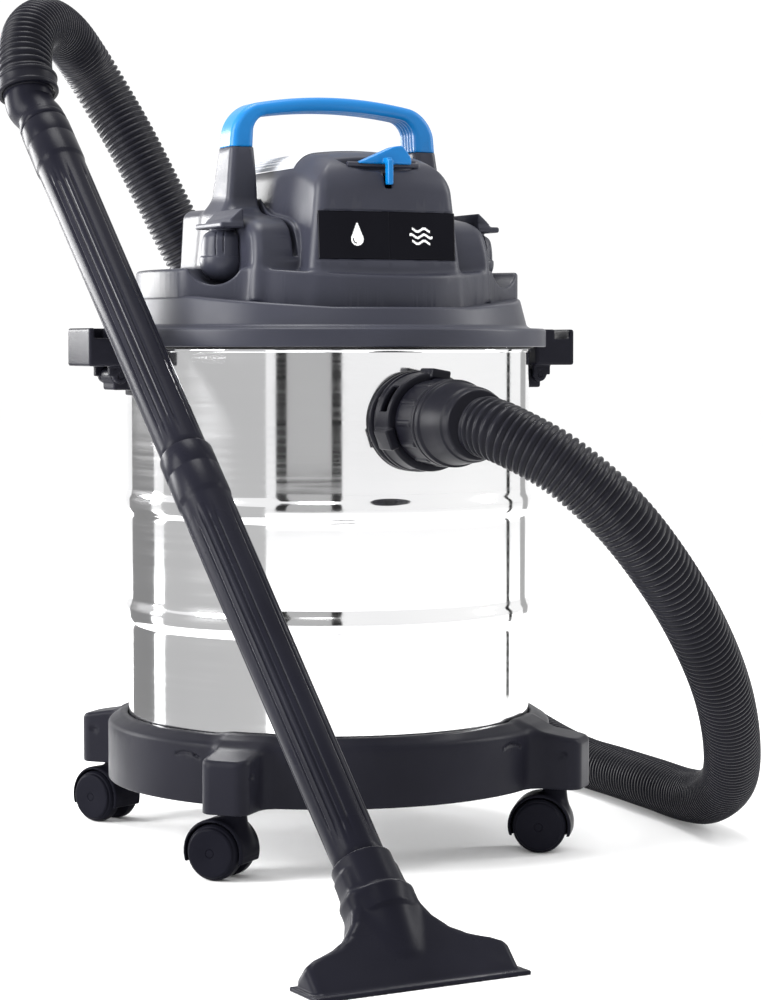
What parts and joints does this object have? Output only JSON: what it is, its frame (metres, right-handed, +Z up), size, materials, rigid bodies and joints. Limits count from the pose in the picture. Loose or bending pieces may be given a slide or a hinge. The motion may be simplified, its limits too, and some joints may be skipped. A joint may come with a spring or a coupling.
{
  "type": "shop vacuum",
  "caption": "Wet and dry shop vacuum with a steel tank on a castored base, a lift-off motor head, a long flexible hose, a two-piece wand and a floor nozzle.",
  "frame": {"origin": "on the tank's axis at floor level", "axes": "+Z up; the suction inlet faces -Y and the blower port faces +Y; the latches are on +X and -X"},
  "size_m": [0.5008, 0.7166, 0.618],
  "materials": {
    "tank_steel": "polished stainless steel with a fine circumferential grain",
    "cover_grey": "dark grey moulded plastic with a fine texture",
    "base_black": "black moulded plastic, satin",
    "fitting_black": "black moulded plastic, satin",
    "hose_black": "corrugated black plastic",
    "wand_black": "black extruded plastic, semi-gloss",
    "blue": "bright blue moulded plastic, satin",
    "label_black": "glossy black printed panel",
    "wheel_black": "black moulded plastic, satin",
    "hardware": "zinc-plated steel",
    "seal_rubber": "soft black rubber",
    "stator_iron": "varnished laminations",
    "copper_winding": "enamelled winding",
    "fan_metal": "pressed aluminium",
    "carbon": "carbon brush",
    "filter_foam": "open foam sleeve",
    "float_plastic": "natural white plastic"
  },
  "bodies": {
    "chassis": {"base_ring": "base_black", "tank_shell": "tank_steel", "base_screws": "hardware", "inlet_port": "fitting_black", "inlet_gasket": "seal_rubber", "inlet_deflector": "fitting_black", "inlet_screws": "hardware", "latch_bracket_left": "fitting_black", "latch_bracket_right": "fitting_black", "latch_rivets": "hardware", "latch_pins": "hardware", "hose_connector": "fitting_black", "hose_cuff": "fitting_black", "hose": "hose_black", "hose_end_cuff": "fitting_black", "hose_elbow": "fitting_black"},
    "lock_collar": {"lock_collar": "fitting_black"},
    "latch_left": {"latch_lever_left": "fitting_black"},
    "latch_right": {"latch_lever_right": "fitting_black"},
    "head": {"lid": "cover_grey", "lid_seal": "seal_rubber", "motor_cover": "cover_grey", "fascia": "cover_grey", "label_panel": "label_black", "handle_grip": "blue", "roof_grille": "cover_grey", "side_clips": "cover_grey", "blower_port": "cover_grey", "cord_gland": "fitting_black", "cover_screws": "hardware", "switch_body": "fitting_black", "fan_housing": "fan_metal", "motor_stator": "stator_iron", "motor_bearings": "hardware", "motor_brushes": "carbon", "filter_cage": "fitting_black", "filter_sleeve": "filter_foam", "filter_retainer": "blue"},
    "switch": {"switch_lever": "blue"},
    "rotor": {"motor_shaft": "hardware", "armature": "copper_winding", "impeller": "fan_metal", "cooling_fan": "wheel_black"},
    "float": {"float_valve": "float_plastic"},
    "wand": {"wand_upper": "wand_black", "wand_lower": "wand_black"},
    "nozzle": {"nozzle": "fitting_black"},
    "caster_1": {"caster_fork_1": "wheel_black", "caster_stem_1": "hardware"},
    "wheels_1": {"caster_wheels_1": "wheel_black"},
    "caster_2": {"caster_fork_2": "wheel_black", "caster_stem_2": "hardware"},
    "wheels_2": {"caster_wheels_2": "wheel_black"},
    "caster_3": {"caster_fork_3": "wheel_black", "caster_stem_3": "hardware"},
    "wheels_3": {"caster_wheels_3": "wheel_black"},
    "caster_4": {"caster_fork_4": "wheel_black", "caster_stem_4": "hardware"},
    "wheels_4": {"caster_wheels_4": "wheel_black"}
  },
  "joints": [
    {"name": "head_lift", "type": "slide", "parent": "chassis", "child": "head", "axis": [0, 0, 1], "range_m": [0, 0.12]},
    {"name": "latch_left_swing", "type": "hinge", "parent": "chassis", "child": "latch_left", "pos_m": [-0.164, 0, 0.336], "axis": [0, -1, 0], "range_deg": [0, 70]},
    {"name": "latch_right_swing", "type": "hinge", "parent": "chassis", "child": "latch_right", "pos_m": [0.164, 0, 0.336], "axis": [0, 1, 0], "range_deg": [0, 70]},
    {"name": "switch_rock", "type": "hinge", "parent": "head", "child": "switch", "pos_m": [0, -0.094, 0.481], "axis": [-1, 0, 0], "range_deg": [0, 15]},
    {"name": "lock_collar_turn", "type": "hinge", "parent": "chassis", "child": "lock_collar", "pos_m": [0, -0.16, 0.306], "axis": [0, 1, 0], "range_deg": [0, 30]},
    {"name": "float_rise", "type": "slide", "parent": "head", "child": "float", "axis": [0, 0, 1], "range_m": [0, 0.06]},
    {"name": "rotor_spin", "type": "hinge", "parent": "head", "child": "rotor", "pos_m": [0, 0, 0.43], "axis": [0, 0, 1], "continuous": true},
    {"name": "wand_swivel", "type": "hinge", "parent": "chassis", "child": "wand", "pos_m": [-0.1825, 0.09309, 0.51266], "axis": [-0.0589, 0.7169, 0.6947], "continuous": true},
    {"name": "nozzle_twist", "type": "hinge", "parent": "wand", "child": "nozzle", "pos_m": [-0.14383, -0.37721, 0.05696], "axis": [-0.0589, 0.7169, 0.6947], "continuous": true},
    {"name": "caster_1_swivel", "type": "hinge", "parent": "chassis", "child": "caster_1", "pos_m": [-0.12162, -0.12162, 0.04], "axis": [0, 0, 1], "continuous": true},
    {"name": "caster_1_roll", "type": "hinge", "parent": "caster_1", "child": "wheels_1", "pos_m": [-0.12818, -0.11407, 0.019], "axis": [-0.7547, -0.6561, 0], "continuous": true},
    {"name": "caster_2_swivel", "type": "hinge", "parent": "chassis", "child": "caster_2", "pos_m": [0.12162, -0.12162, 0.04], "axis": [0, 0, 1], "continuous": true},
    {"name": "caster_2_roll", "type": "hinge", "parent": "caster_2", "child": "wheels_2", "pos_m": [0.11333, -0.11603, 0.019], "axis": [-0.5592, -0.829, 0], "continuous": true},
    {"name": "caster_3_swivel", "type": "hinge", "parent": "chassis", "child": "caster_3", "pos_m": [0.12162, 0.12162, 0.04], "axis": [0, 0, 1], "continuous": true},
    {"name": "caster_3_roll", "type": "hinge", "parent": "caster_3", "child": "wheels_3", "pos_m": [0.11455, 0.12869, 0.019], "axis": [-0.7071, -0.7071, 0], "continuous": true},
    {"name": "caster_4_swivel", "type": "hinge", "parent": "chassis", "child": "caster_4", "pos_m": [-0.12162, 0.12162, 0.04], "axis": [0, 0, 1], "continuous": true},
    {"name": "caster_4_roll", "type": "hinge", "parent": "caster_4", "child": "wheels_4", "pos_m": [-0.12632, 0.13045, 0.019], "axis": [-0.8829, -0.4695, 0], "continuous": true}
  ]
}
